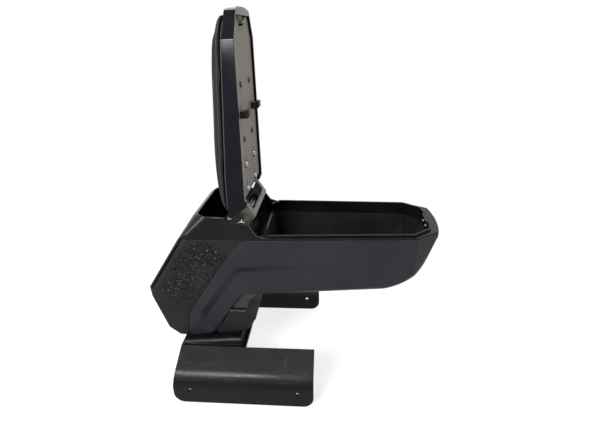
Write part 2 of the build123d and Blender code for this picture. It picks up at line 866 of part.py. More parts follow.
core_points = [
    (core_rear_x, plinth_z(core_rear_x)),
    (core_toe_x, plinth_z(core_toe_x)),
    *core_front,
    (core_neck_x, floor_z(core_neck_x) - 1),
    *core_top,
]
with BuildPart() as leg_core:
    extrude(to_extrude=region(Plane.XZ, core_points), amount=core_half, both=True)
    with BuildSketch(Plane.XZ):
        add(region(Plane.XZ, core_points))
        offset(amount=-core_wall, kind=Kind.INTERSECTION, mode=Mode.REPLACE)
    extrude(amount=core_inner_half, both=True, mode=Mode.SUBTRACT)
    for places, radius, length in [
        (side_places(arm_screw_xz + cover_screw_xz, core_inner_half), screw_r, core_wall),
        (hinge_screw_places, screw_r, hinge_screw_length),
        (bolt_places, bolt_r, bolt_length),
    ]:
        add(round_bars(places, radius, length), mode=Mode.SUBTRACT)
leg_core.part.label = "leg_core"
export_step(leg_core.part, "parts/leg_core.step")

foot_points = [
    (core_toe_x, plinth_z(core_toe_x)),
    (foot_nose[0][0], plinth_z(foot_nose[0][0])),
    *foot_nose[1:],
    (core_front[0][0], foot_nose[-1][1]),
]
with BuildPart() as foot_block:
    extrude(to_extrude=region(Plane.XZ, foot_points), amount=foot_half, both=True)
    chamfer(foot_block.edges().filter_by(Plane.XZ).filter_by(
        lambda edge: edge.center().X > foot_nose[0][0] - 16), foot_bevel)
    # Hollow, and open towards the core
    for back in (0, foot_wall, 2 * foot_wall):
        with BuildSketch(Plane.XZ):
            add(region(Plane.XZ, [(x - back, z) for x, z in foot_points]))
            offset(amount=-foot_wall, kind=Kind.INTERSECTION, mode=Mode.REPLACE)
        extrude(amount=foot_half - foot_wall, both=True, mode=Mode.SUBTRACT)
foot_block.part.label = "foot_block"
export_step(foot_block.part, "parts/foot_block.step")


# Hinge: base in the cowl, leaf on the lid, pin and spring

with BuildPart() as hinge_base:
    with Locations((hinge_base_x, 0, cowl_floor_z + hinge_base_t / 2)):
        Box(hinge_base_length, 2 * base_ear_half, hinge_base_t)
    for side in (1, -1):
        with BuildSketch(Plane.XZ.offset(-side * base_ear_half)):
            with BuildLine():
                Line((pivot_x - base_ear_r - 9, cowl_floor_z), (pivot_x + 2, cowl_floor_z))
                Line((pivot_x + 2, cowl_floor_z), (pivot_x + base_ear_r, pivot_z))
                ThreePointArc((pivot_x + base_ear_r, pivot_z), (pivot_x, pivot_z + base_ear_r),
                              (pivot_x - base_ear_r, pivot_z))
                Line((pivot_x - base_ear_r, pivot_z), (pivot_x - base_ear_r - 9, cowl_floor_z))
            make_face()
        extrude(amount=side * hinge_base_t)
    with Locations(Location((pivot_x, 0, pivot_z), (90, 0, 0))):
        Cylinder(pin_r + pin_play, 4 * leaf_half, mode=Mode.SUBTRACT)
    add(round_bars(hinge_screw_places, screw_r + screw_play, 2 * hinge_base_t),
        mode=Mode.SUBTRACT)
hinge_base.part.label = "hinge_base"
export_step(hinge_base.part, "parts/hinge_base.step")

with BuildPart() as hinge_pin:
    with Locations(Location((pivot_x, 0, pivot_z), (90, 0, 0))):
        Cylinder(pin_r, 2 * (leaf_half + ear_gap + pin_head))
    for side in (1, -1):
        with Locations(Location((pivot_x, side * (leaf_half + ear_gap + pin_head / 2), pivot_z),
                                (90, 0, 0))):
            Cylinder(pin_head_r, pin_head)
    chamfer(hinge_pin.edges().group_by(Axis.Y)[0] + hinge_pin.edges().group_by(Axis.Y)[-1], 0.6)
hinge_pin.part.label = "hinge_pin"
export_step(hinge_pin.part, "parts/hinge_pin.step")

spring_half = spring_turns * spring_wire / 2

with BuildPart() as hinge_spring:
    with BuildSketch(Plane.XY.offset(pivot_z)):
        with BuildLine():
            for turn in range(spring_turns):
                low = turn * spring_wire - spring_half
                ThreePointArc(
                    (pivot_x + spring_r, low),
                    (pivot_x + spring_r + spring_wire / 2, low + spring_wire / 2),
                    (pivot_x + spring_r, low + spring_wire),
                )
            Polyline(
                (pivot_x + spring_r, spring_half),
                (pivot_x + spring_r - spring_wire / 2, spring_half),
                (pivot_x + spring_r - spring_wire / 2, -spring_half),
                (pivot_x + spring_r, -spring_half),
            )
        make_face()
    revolve(axis=Axis((pivot_x, 0, pivot_z), (0, 1, 0)))
    for end in (1, -1):
        with Locations((pivot_x - spring_r, end * (spring_half - spring_wire / 2),
                        pivot_z - spring_leg / 2)):
            Cylinder(spring_wire / 2, spring_leg)
hinge_spring.part.label = "hinge_spring"
export_step(hinge_spring.part, "parts/hinge_spring.step")

leaf_tab_w = plate_w + plate_t


def keyholes():
    """The slots through the plate and the leaf, one above each of the leaf's screws."""
    with BuildPart() as slots:
        with BuildSketch(lid_plan.offset(plate_w - 1)):
            with Locations(*[
                (u + keyhole_rise, side * lid_screw_y) for u in leaf_screw_u for side in (1, -1)
            ]):
                SlotOverall(keyhole_length, keyhole_width)
        extrude(amount=plate_t + leaf_t + 2)
    return slots.part


with BuildPart() as hinge_leaf:
    with BuildSketch(lid_side):
        with BuildLine():
            Polyline(
                leaf_low,
                (leaf_bend_u, leaf_tab_w),
                (leaf_end_u, leaf_tab_w),
                (leaf_end_u, leaf_tab_w + leaf_t),
                (leaf_bend_u - 0.8, leaf_tab_w + leaf_t),
                (leaf_low[0] - leaf_t * 0.55, leaf_low[1] + leaf_t * 0.85),
                close=True,
            )
        make_face()
    extrude(amount=leaf_half, both=True)
    # The window between the two arms
    with BuildSketch(lid_plan):
        with Locations(((leaf_window_low_u + leaf_window_top_u) / 2, 0)):
            RectangleRounded(leaf_window_top_u - leaf_window_low_u, 2 * (leaf_half - leaf_arm),
                             leaf_window_r)
    extrude(amount=40, both=True, mode=Mode.SUBTRACT)
    # The tab under the plate is narrower than the arms
    with Locations(lid_plan):
        with Locations(*[
            (leaf_window_top_u + reach, side * (leaf_tab_half + reach), 0) for side in (1, -1)
        ]):
            Box(2 * reach, 2 * reach, reach, mode=Mode.SUBTRACT)
    for side in (1, -1):
        with BuildSketch(lid_side.offset(-side * leaf_half)):
            with BuildLine():
                Polyline((base_ear_r * 0.7, base_ear_r * 0.7), (24, -3), (20, -11), leaf_low,
                         (-base_ear_r * 0.7, -base_ear_r * 0.7))
                ThreePointArc((-base_ear_r * 0.7, -base_ear_r * 0.7),
                              (-base_ear_r * 0.7, base_ear_r * 0.7),
                              (base_ear_r * 0.7, base_ear_r * 0.7))
            make_face()
        extrude(amount=side * leaf_t)
    with Locations(Location((pivot_x, 0, pivot_z), (90, 0, 0))):
        Cylinder(pin_r + pin_play, 4 * leaf_half, mode=Mode.SUBTRACT)
    add(round_bars(lid_places(leaf_screw_u, plate_w), screw_r + screw_play, leaf_screw_length),
        mode=Mode.SUBTRACT)
    add(keyholes(), mode=Mode.SUBTRACT)
hinge_leaf.part.label = "hinge_leaf"
export_step(hinge_leaf.part, "parts/hinge_leaf.step")


# Lid frame: a shallow tray, closed on top, that carries everything else on the lid

def lid_body(inset, deck):
    """The lid's side view, drawn in from its rear end and its top."""
    return [
        (lid_rear_low_u + inset, lid_face_w),
        (lid_rear_top[0] + inset, lid_rear_top[1] - deck),
        (lid_top[0][0], lid_top[0][1] - deck),
        (lid_top[1][0], lid_top[1][1] - deck),
        (lid_end_u, lid_nose_w - deck),
        (lid_end_u, lid_face_w),
    ]


lid_face = lid_plan.offset(lid_face_w)

with BuildPart() as lid_room:
    extrude(to_extrude=region(lid_side, lid_body(lid_rim, lid_deck)), amount=reach, both=True)
    add(extrude(to_extrude=plan(lid_face, pivot_x, lid_rim), amount=40, taper=lid_draft,
                mode=Mode.PRIVATE), mode=Mode.INTERSECT)
    with Locations(lid_face):
        with Locations((opening_nose_x - pivot_x + lip_wall + lid_gap + reach, 0, 0)):
            Box(2 * reach, 2 * reach, reach, mode=Mode.SUBTRACT)

with BuildPart() as lid_frame:
    extrude(to_extrude=region(lid_side, lid_body(0, 0)), amount=reach, both=True)
    add(extrude(to_extrude=plan(lid_face, pivot_x), amount=40, taper=lid_draft,
                mode=Mode.PRIVATE), mode=Mode.INTERSECT)
    add(lid_room.part, mode=Mode.SUBTRACT)
    # Bosses that take the screws
    for u in plate_screw_u + leaf_screw_u:
        low_w = plate_w + plate_t + (leaf_t if u < leaf_end_u else 0)
        add(round_bars(lid_places([u], low_w), boss_r, deck_w(u) - lid_deck / 2 - low_w))
    add(round_bars(lid_places(plate_screw_u, plate_w), screw_r, plate_screw_length),
        mode=Mode.SUBTRACT)
    add(round_bars(lid_places(leaf_screw_u, plate_w), screw_r, leaf_screw_length),
        mode=Mode.SUBTRACT)
    # The slot for the hinge leaf in the rear wall, and the one for the latch tab in the nose
    with Locations(lid_plan):
        with Locations((lid_rear_low_u + 2, 0, lid_face_w + 4)):
            Box(30, 2 * (leaf_half + 1), 10, mode=Mode.SUBTRACT)
        with Locations((nose_x - pivot_x - 6, 0, latch_tab_low_w + latch_tab_t / 2)):
            Box(30, 2 * (latch_tab_half + latch_play), latch_tab_t + latch_play,
                mode=Mode.SUBTRACT)
lid_frame.part.label = "lid_frame"
export_step(lid_frame.part, "parts/lid_frame.step")

with BuildPart() as lid_plate:
    extrude(to_extrude=plan(lid_plan.offset(plate_w), pivot_x, lid_rim + plate_gap),
            amount=plate_t)
    with Locations(lid_plan):
        with Locations((plate_rear_u - reach, 0, 0), (plate_nose_u + reach, 0, 0)):
            Box(2 * reach, 2 * reach, reach, mode=Mode.SUBTRACT)
    for start, half in [
        (slot_u, slot_half),
        (latch_rear_u - latch_travel - slot_gap, latch_tab_half + slot_gap),
    ]:
        with Locations(lid_plan):
            with Locations((start + reach, 0, 0)):
                Box(2 * reach, 2 * half, reach, mode=Mode.SUBTRACT)
    with Locations(lid_plan):
        for side in (1, -1):
            with Locations((slot_u - slit_length / 2, side * slot_half, 0)):
                Box(slit_length, slit_width, reach, mode=Mode.SUBTRACT)
    add(round_bars(lid_places(plate_screw_u + leaf_screw_u, plate_w), screw_r + screw_play,
                   2 * plate_t), mode=Mode.SUBTRACT)
    add(keyholes(), mode=Mode.SUBTRACT)
lid_plate.part.label = "lid_plate"
export_step(lid_plate.part, "parts/lid_plate.step")


# Screws and bolts

def screws(places, length, shank=screw_r, head=screw_head_r):
    """Pan-head screws that start on the given planes."""
    with BuildPart() as group:
        add(round_bars(places, shank, length))
        for place in places:
            with BuildSketch(place):
                Circle(head)
            extrude(amount=-screw_head, taper=screw_head_slope)
    return group.part


fastenings = {
    "plate_screws": screws(lid_places(plate_screw_u, plate_w), plate_screw_length),
    "leaf_screws": screws(lid_places(leaf_screw_u, plate_w), leaf_screw_length),
    "hinge_screws": screws(hinge_screw_places, hinge_screw_length),
    "body_screws": screws(side_places(arm_screw_xz + cover_screw_xz, core_inner_half),
                          body_screw_length),
    "strike_screws": screws(strike_screw_places, strike_screw_length, strike_screw_r,
                            strike_screw_head_r),
}
for name, group in fastenings.items():
    group.label = name
    export_step(group, "parts/" + name + ".step")

with BuildPart() as core_bolts:
    add(round_bars(bolt_places, bolt_r, bolt_length))
    for place in bolt_places:
        with BuildSketch(place):
            RegularPolygon(bolt_head_r, 6)
        extrude(amount=-bolt_head)
core_bolts.part.label = "core_bolts"
export_step(core_bolts.part, "parts/core_bolts.step")

with BuildPart() as core_nuts:
    for place in bolt_places:
        with BuildSketch(place.offset(wing_wall + core_wall)):
            RegularPolygon(bolt_head_r, 6)
            Circle(bolt_r, mode=Mode.SUBTRACT)
        extrude(amount=nut_height)
core_nuts.part.label = "core_nuts"
export_step(core_nuts.part, "parts/core_nuts.step")


# Clips on the inner plate

def lid_clip(side):
    """A hooked clip that stands on the inner plate."""
    low_u = clip_u - clip_length / 2
    high_u = clip_u + clip_length / 2
    end_w = plate_w - clip_reach
    with BuildPart() as clip:
        extrude(
            to_extrude=region(lid_side.offset(-side * (clip_y - clip_width / 2)), [
                (low_u, plate_w),
                (low_u, end_w + clip_corner),
                (low_u + clip_corner, end_w),
                (high_u, end_w),
                (high_u, end_w + 2 * clip_groove),
                (high_u - clip_groove, end_w + 2 * clip_groove),
                (high_u - clip_groove, plate_w),
            ]),
            amount=-side * clip_width,
        )
    return clip.part


for side, name in ((1, "lid_clip_left"), (-1, "lid_clip_right")):
    clip_part = lid_clip(side)
    clip_part.label = name
    export_step(clip_part, "parts/" + name + ".step")


# Latch: a release tab in the lid's nose, with a flange that goes under the strike's hook

latch_tab_end_u = nose_x - pivot_x + latch_proud

with BuildPart() as latch_release:
    with BuildSketch(lid_side):
        with BuildLine():
            Polyline(
                (latch_rear_u, latch_low_w),
                (latch_hook_u, latch_low_w),
                (latch_hook_u, latch_low_w + latch_flange_t),
                (latch_neck_u, latch_low_w + latch_flange_t),
                (latch_neck_u, latch_tab_low_w),
                (latch_tab_end_u, latch_tab_low_w),
                (latch_tab_end_u, latch_tab_low_w + latch_tab_t),
                (latch_rear_u, latch_tab_low_w + latch_tab_t),
                close=True,
            )
        make_face()
    extrude(amount=latch_tab_half, both=True)
latch_release.part.label = "latch_release"
export_step(latch_release.part, "parts/latch_release.step")

with BuildPart() as latch_strike:
    extrude(
        to_extrude=region(Plane.XZ, [
            (opening_nose_x, strike_low_z),
            (opening_nose_x, strike_top_z),
            (strike_hook_x, strike_top_z),
            (strike_hook_x, strike_top_z - strike_hook_t),
            (opening_nose_x - strike_t, strike_top_z - strike_hook_t),
            (opening_nose_x - strike_t, strike_low_z),
        ]),
        amount=strike_half, both=True,
    )
    add(round_bars(strike_screw_places, strike_screw_r, strike_screw_length), mode=Mode.SUBTRACT)
latch_strike.part.label = "latch_strike"
export_step(latch_strike.part, "parts/latch_strike.step")


# Pad and the board that it is stretched over

with BuildPart() as pad_board:
    low = [
        (pad_board_rear_u, lid_top[0][1]),
        *[point for point in lid_top if point[0] < pad_board_nose_u],
        (pad_board_nose_u, deck_w(pad_board_nose_u)),
    ]
    high = [(u, w + pad_board_t) for u, w in reversed(low)]
    extrude(to_extrude=region(lid_side, low + high), amount=reach, both=True)
    add(extrude(to_extrude=plan(lid_face, pivot_x, pad_board_inset), amount=60,
                mode=Mode.PRIVATE), mode=Mode.INTERSECT)
pad_board.part.label = "pad_board"
export_step(pad_board.part, "parts/pad_board.step")

pad_rise = pad_board_t + pad_gap

with BuildPart() as pad:
    with BuildSketch(lid_side):
        with BuildLine():
            Polyline(
                pad_front[-1],
                (pad_front[-1][0], deck_w(pad_front[-1][0]) + pad_rise),
                (lid_top[1][0], lid_top[1][1] + pad_rise),
                (lid_top[0][0], lid_top[0][1] + pad_rise),
                (pad_back[0][0], lid_top[0][1] + pad_rise),
                pad_back[0],
            )
            Spline(*pad_back, *pad_crown, *pad_front)
        make_face()
    extrude(amount=reach, both=True)
    add(extrude(to_extrude=plan(lid_face, pivot_x, pad_inset), amount=60,
                mode=Mode.PRIVATE), mode=Mode.INTERSECT)
pad.part.label = "pad"
export_step(pad.part, "parts/pad.step")
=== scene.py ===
# %% [markdown]
# # A car centre armrest with its lid up
#
# The armrest stands on a saddle of leather-grained plastic. An angled leg carries a storage box,
# and a padded lid stands open on a steel hinge. The hard pieces come from the CAD model and only
# get better surfaces here. The pad with its seam, and the facets and fine lines embossed on the
# rear cover, are built in this file: they are shapes that a lathe or a mill would not make.
#
# Everything is in metres, except where a comment says millimetres. X points from the leg to the
# nose of the box, Y to the left and Z up.

# %% Tools and the fixed model
import math
import random

import bmesh
import bpy
from mathutils import Matrix, Vector
from mathutils.bvhtree import BVHTree


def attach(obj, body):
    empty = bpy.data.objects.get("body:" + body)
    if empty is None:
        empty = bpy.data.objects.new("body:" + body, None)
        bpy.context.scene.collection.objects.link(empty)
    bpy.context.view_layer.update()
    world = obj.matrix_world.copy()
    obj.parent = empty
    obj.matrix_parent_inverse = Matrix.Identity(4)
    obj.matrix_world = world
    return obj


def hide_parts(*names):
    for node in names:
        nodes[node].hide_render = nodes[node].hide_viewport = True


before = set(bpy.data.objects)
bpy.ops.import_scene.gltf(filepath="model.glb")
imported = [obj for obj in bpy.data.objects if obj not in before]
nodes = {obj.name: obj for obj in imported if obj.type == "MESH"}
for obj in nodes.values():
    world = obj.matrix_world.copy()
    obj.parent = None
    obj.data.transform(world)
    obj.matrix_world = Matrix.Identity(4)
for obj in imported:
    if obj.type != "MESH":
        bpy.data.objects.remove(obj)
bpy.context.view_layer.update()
print("pieces in the model:", len(nodes))

# %% [markdown]
# ## Camera
#
# The viewer's place is settled first, because every later choice of light depends on it. The eye
# is half a metre to the right of the armrest and looks down at it by 23 degrees, through a wide
# lens. The picture is turned by less than two degrees, as in a snapshot taken by hand.

# %% Camera
EYE = Vector((0.0529, -0.5319, 0.4394))
PITCH = math.radians(23.26)
YAW = math.radians(5.45)
ROLL = math.radians(-1.68)
SENSOR_MM = 36.0
LENS_MM = 27.05

ahead = Vector((-math.sin(YAW) * math.cos(PITCH),
                math.cos(YAW) * math.cos(PITCH),
                -math.sin(PITCH)))
level = Vector((math.cos(YAW), math.sin(YAW), 0.0))
upright = level.cross(ahead)
right = math.cos(ROLL) * level + math.sin(ROLL) * upright
up = math.cos(ROLL) * upright - math.sin(ROLL) * level

camera = bpy.data.objects.new("camera", bpy.data.cameras.new("camera"))
bpy.context.scene.collection.objects.link(camera)
camera.data.sensor_width = SENSOR_MM
camera.data.lens = LENS_MM
camera.data.clip_start = 0.01
camera.matrix_world = Matrix((
    (right.x, up.x, -ahead.x, EYE.x),
    (right.y, up.y, -ahead.y, EYE.y),
    (right.z, up.z, -ahead.z, EYE.z),
    (0, 0, 0, 1),
))
bpy.context.scene.camera = camera
print("camera looks along", [round(v, 3) for v in ahead])

# %% [markdown]
# ## Lamps
#
# Black plastic has almost no colour of its own, so it is seen by what it mirrors. Each highlight of
# the photograph gives the place of a lamp: the ray from the camera is reflected at the surface, and
# the lamp hangs where the reflected ray goes. A bright window high beside the viewer draws the long
# streak on the bend of the wing. A small pane at the height of the lid makes the patch near its
# top. A lamp far behind lights the round lip of the cowl, and one high above the leg lights the
# plinth and the shoulders of the leg. Two large soft lamps, overhead and at the front right, do
# the rest.

# %% Lamps
LAMPS = [
    # name, its place, the point that it faces, its width and height, its power in watts
    ("wing_window", (-0.44, -1.14, 0.91), (-0.08, -0.10, 0.04), (0.42, 0.34), 38.0),
    ("lid_pane", (-0.42, -1.25, 0.525), (-0.06, -0.06, 0.42), (0.10, 0.05), 1.4),
    ("behind", (-1.22, -0.14, 0.68), (-0.11, -0.05, 0.23), (0.34, 0.30), 2.6),
    ("above_leg", (-0.55, -0.04, 1.28), (-0.10, -0.06, 0.07), (0.42, 0.34), 7.0),
    ("overhead", (0.10, 0.62, 1.30), (0, 0, 0.2), (1.1, 0.8), 13.0),
    ("front_right", (1.30, -0.35, 0.75), (0, 0, 0.2), (0.7, 0.6), 5.0),
]


def area_lamp(name, place, target, size, power):
    """A rectangular lamp that faces a point."""
    lamp = bpy.data.lights.new(name, "AREA")
    lamp.shape = "RECTANGLE"
    lamp.size, lamp.size_y = size
    lamp.energy = power
    holder = bpy.data.objects.new(name, lamp)
    holder.location = place
    holder.rotation_euler = (Vector(target) - Vector(place)).to_track_quat("-Z", "Y").to_euler()
    bpy.context.scene.collection.objects.link(holder)


for row in LAMPS:
    area_lamp(*row)

# %% [markdown]
# ## The white room
#
# The backdrop is white, but a white room would wash out the blacks. So the world is two evenly
# lit backgrounds in one. The camera's own rays, and those that are mirrored or pass through
# something clear, see plain white. All other rays see a faint, slightly cool fill.

# %% White room
WHITE = 1.0
FILL = 0.16
FILL_COLOUR = (0.93, 0.96, 1.0)


def backdrop_seen(tree_nodes, link):
    """One for rays that see the white backdrop: the camera's own, mirrored ones and clear ones."""
    rays = tree_nodes.new("ShaderNodeLightPath")
    total = rays.outputs["Is Camera Ray"]
    for kind in ("Is Glossy Ray", "Is Transmission Ray"):
        more = tree_nodes.new("ShaderNodeMath")
        more.operation = "MAXIMUM"
        link(total, more.inputs[0])
        link(rays.outputs[kind], more.inputs[1])
        total = more.outputs[0]
    return total


def even_light(tree_nodes, colour, strength):
    """A background of one colour and strength."""
    node = tree_nodes.new("ShaderNodeBackground")
    node.inputs["Color"].default_value = (*colour, 1)
    node.inputs["Strength"].default_value = strength
    return node.outputs[0]


def mixed(tree_nodes, link, share, one, other):
    """A shader between two others: the first where the share is zero, the other where it is one."""
    node = tree_nodes.new("ShaderNodeMixShader")
    for socket, source in zip(node.inputs, (share, one, other)):
        link(source, socket)
    return node.outputs[0]


world = bpy.data.worlds.new("room")
bpy.context.scene.world = world
world.use_nodes = True
sky = world.node_tree.nodes
sky_link = world.node_tree.links.new
sky.clear()
sky_out = sky.new("ShaderNodeOutputWorld")
seen = even_light(sky, (1, 1, 1), WHITE)
fill = even_light(sky, FILL_COLOUR, FILL)
sky_link(mixed(sky, sky_link, backdrop_seen(sky, sky_link), fill, seen), sky_out.inputs[0])
bpy.context.scene.view_settings.view_transform = "Standard"
print("room: strength", WHITE, "where it is seen and", FILL, "where it lights")

# %% [markdown]
# ## Surfaces
#
# Every finish is made from nodes. A moulded plastic has three things that a flat colour lacks:
# a fine grain from the tool, patches where the gloss varies, and edges that are never quite sharp.
# The last comes from the Bevel node, which rounds the light on an edge and leaves the mesh alone.
# The helpers below each add one node or two, so that a finish reads as a short list of what the
# real surface has.

# %% A finish and a place on the piece
def finish(name, colour, roughness, metallic=0.0, specular=0.5):
    """A new material with its principled shader, its nodes and a function that links sockets."""
    material = bpy.data.materials.new(name)
    material.use_nodes = True
    tree = material.node_tree
    shader = tree.nodes["Principled BSDF"]
    shader.inputs["Base Color"].default_value = (*colour, 1)
    shader.inputs["Roughness"].default_value = roughness
    shader.inputs["Metallic"].default_value = metallic
    shader.inputs["Specular IOR Level"].default_value = specular
    return material, tree.nodes, tree.links.new, shader


def surface_place(tree_nodes, link, stretch=(1, 1, 1)):
    """The point on the piece, in metres, with each direction stretched."""
    where = tree_nodes.new("ShaderNodeTexCoord")
    scaled = tree_nodes.new("ShaderNodeMapping")
    scaled.inputs["Scale"].default_value = stretch
    link(where.outputs["Object"], scaled.inputs["Vector"])
    return scaled.outputs["Vector"]


# %% Noise, ranges and tones
def noise(tree_nodes, link, place, scale, detail=3.0, rough=0.55):
    """A noise texture's value."""
    node = tree_nodes.new("ShaderNodeTexNoise")
    node.inputs["Scale"].default_value = scale
    node.inputs["Detail"].default_value = detail
    node.inputs["Roughness"].default_value = rough
    link(place, node.inputs["Vector"])
    return node.outputs["Fac"]


def spread(tree_nodes, link, value, low, high, first=0.3, last=0.7):
    """From low to high, eased, while the value goes from first to last."""
    node = tree_nodes.new("ShaderNodeMapRange")
    node.interpolation_type = "SMOOTHSTEP"
    limits = {"From Min": first, "From Max": last, "To Min": low, "To Max": high}
    for name, number in limits.items():
        node.inputs[name].default_value = number
    link(value, node.inputs["Value"])
    return node.outputs["Result"]


def two_tones(tree_nodes, link, value, one, other):
    """A colour between two tones."""
    node = tree_nodes.new("ShaderNodeMix")
    node.data_type = "RGBA"
    node.inputs["A"].default_value = (*one, 1)
    node.inputs["B"].default_value = (*other, 1)
    link(value, node.inputs["Factor"])
    return node.outputs["Result"]


# %% Bumps and soft edges
BEVEL_SAMPLES = 6


def raised(tree_nodes, link, height, distance, under):
    """A bump from a height, on top of another normal."""
    node = tree_nodes.new("ShaderNodeBump")
    node.inputs["Distance"].default_value = distance
    link(height, node.inputs["Height"])
    link(under, node.inputs["Normal"])
    return node.outputs["Normal"]


def soft_edges(tree_nodes, radius):
    """A normal that rounds every edge by a radius."""
    node = tree_nodes.new("ShaderNodeBevel")
    node.samples = BEVEL_SAMPLES
    node.inputs["Radius"].default_value = radius
    return node.outputs["Normal"]


# %% [markdown]
# ### Moulded plastics
#
# The leg and the box are satin, the cowl and the lid's rim are glossy, and the bin is dull. They
# differ in colour, in gloss and in the height and size of the grain, so one function makes them
# all. The grain of the dull ones is noise of about half a millimetre, as spark-eroded tools leave
# it. The glossy ones have only a faint wave, two to four times as long.

# %% Moulded plastics
MOULDED_EDGE = 0.0008
MOULDED_PATCHES = 26.0


def moulded(name, colour, roughness, grain_height, specular, grain=1900.0, vary=0.08):
    """A moulded plastic. The grain is so many waves per metre, and vary is how far gloss varies."""
    material, tree_nodes, link, shader = finish(name, colour, roughness, specular=specular)
    place = surface_place(tree_nodes, link)
    cloud = noise(tree_nodes, link, place, MOULDED_PATCHES)
    lighter = tuple(c * 1.22 + 0.001 for c in colour)
    link(two_tones(tree_nodes, link, spread(tree_nodes, link, cloud, 0.0, 1.0), colour, lighter),
         shader.inputs["Base Color"])
    link(spread(tree_nodes, link, cloud, roughness - vary, roughness + vary),
         shader.inputs["Roughness"])
    fine = noise(tree_nodes, link, place, grain, detail=2.0)
    link(raised(tree_nodes, link, fine, grain_height, soft_edges(tree_nodes, MOULDED_EDGE)),
         shader.inputs["Normal"])
    return material


satin = moulded("satin_shell", (0.0055, 0.0055, 0.0075), roughness=0.40,
                grain_height=0.00005, specular=0.21)
cover_satin = moulded("satin_rear_cover", (0.0040, 0.0040, 0.0044), roughness=0.46,
                      grain_height=0.00006, specular=0.14)
core_plastic = moulded("core_plastic", (0.012, 0.0135, 0.012), roughness=0.50,
                       grain_height=0.00008, specular=0.22)
foot_plastic = moulded("foot_plastic", (0.0040, 0.0042, 0.0048), roughness=0.42,
                       grain_height=0.00006, specular=0.14)
gloss = moulded("gloss_shell", (0.0022, 0.0020, 0.0028), roughness=0.17,
                grain_height=0.000005, specular=0.13, grain=700.0, vary=0.03)
lid_gloss = moulded("gloss_lid_rim", (0.0026, 0.0021, 0.0036), roughness=0.12,
                    grain_height=0.000002, specular=0.08, grain=500.0, vary=0.02)
dull = moulded("dull_bin", (0.0028, 0.0028, 0.0034), roughness=0.62,
               grain_height=0.0001, specular=0.08)
lining = moulded("warm_grey_lining", (0.138, 0.126, 0.106), roughness=0.55,
                 grain_height=0.00005, specular=0.14)
clip_plastic = moulded("clip_plastic", (0.006, 0.006, 0.0065), roughness=0.40,
                       grain_height=0.00003, specular=0.25)
board_plastic = moulded("board_plastic", (0.02, 0.02, 0.02), roughness=0.6,
                        grain_height=0.00005, specular=0.25)
print("plastics made:", len(bpy.data.materials))

# %% [markdown]
# ### Leather grain
#
# The saddle is moulded in a tool with a leather grain: small rounded pebbles about a millimetre
# across with narrow valleys between them. Voronoi cells give that directly. The distance to a
# cell's border is the height, cut off so that the pebbles have flat tops, and a second, coarser
# layer keeps them from looking like a net. The pad's cover and its seam have a finer grain of the
# same kind, with crisper edges.

# %% Leather-grained covers
PEBBLE_TOP = 0.15
LEATHER_PATCHES = 30.0
COARSE_SHARE = 0.35
COARSE_HEIGHT = 1.6


def leather_grained(name, colour, roughness, pebble, edge, specular, height=0.00006):
    """A plastic or a cover with a leather grain of pebbles of a given size."""
    material, tree_nodes, link, shader = finish(name, colour, roughness, specular=specular)
    place = surface_place(tree_nodes, link)
    cells = tree_nodes.new("ShaderNodeTexVoronoi")
    cells.feature = "DISTANCE_TO_EDGE"
    cells.inputs["Scale"].default_value = 1.0 / pebble
    link(place, cells.inputs["Vector"])
    tops = spread(tree_nodes, link, cells.outputs["Distance"], 0.0, 1.0, 0.0, PEBBLE_TOP)
    cloud = noise(tree_nodes, link, place, LEATHER_PATCHES)
    coarse = noise(tree_nodes, link, place, COARSE_SHARE / pebble, detail=2.0)
    under = raised(tree_nodes, link, coarse, height * COARSE_HEIGHT, soft_edges(tree_nodes, edge))
    link(raised(tree_nodes, link, tops, height, under), shader.inputs["Normal"])
    # Painted light and shade: the pebble tops are painted lighter than the valleys between them.
    lighter = tuple(c * 1.3 + 0.0005 for c in colour)
    link(two_tones(tree_nodes, link, tops, colour, lighter), shader.inputs["Base Color"])
    link(spread(tree_nodes, link, cloud, roughness - 0.05, roughness + 0.07),
         shader.inputs["Roughness"])
    return material


saddle_plastic = leather_grained("grained_saddle", (0.0008, 0.0008, 0.0012), roughness=0.20,
                                 pebble=0.0010, edge=0.0012, specular=0.13)
pad_cover = leather_grained("pad_cover", (0.0036, 0.0038, 0.0035), roughness=0.55,
                            pebble=0.0009, edge=0.0004, specular=0.13)
# The welt's cover is painted lighter than the pad's cover: a painted highlight along the seam.
seam_cover_painted_highlight = leather_grained("pad_seam_painted_highlight", (0.010, 0.010, 0.0105), roughness=0.50,
                             pebble=0.0007, edge=0.0003, specular=0.22)
print("with the leather grain:", [m.name for m in (saddle_plastic, pad_cover, seam_cover_painted_highlight)])

# %% [markdown]
# ### Steel
#
# The hinge's leaf is stamped from sheet and zinc plated, so it is grey and a little cloudy.
# Rolling has left faint lines along it, which are noise pressed together twenty times in one
# direction. The same function makes the blackened base, bolts and spring, the bright pin and the
# screws, which differ in colour and gloss alone.

# %% Steel finishes
ROLLED = (1, 20, 1)
ROLLED_LINES = 160.0
STEEL_PATCHES = 60.0
STEEL_EDGE = 0.0005
LINE_HEIGHT = 0.00002


def steel(name, colour, roughness):
    """A rolled or drawn steel."""
    material, tree_nodes, link, shader = finish(name, colour, roughness, metallic=1.0)
    lines = noise(tree_nodes, link, surface_place(tree_nodes, link, ROLLED), ROLLED_LINES)
    cloud = noise(tree_nodes, link, surface_place(tree_nodes, link), STEEL_PATCHES)
    darker = tuple(c * 0.72 for c in colour)
    link(two_tones(tree_nodes, link, spread(tree_nodes, link, cloud, 0, 1), colour, darker),
         shader.inputs["Base Color"])
    link(spread(tree_nodes, link, lines, roughness - 0.08, roughness + 0.1),
         shader.inputs["Roughness"])
    link(raised(tree_nodes, link, lines, LINE_HEIGHT, soft_edges(tree_nodes, STEEL_EDGE)),
         shader.inputs["Normal"])
    return material


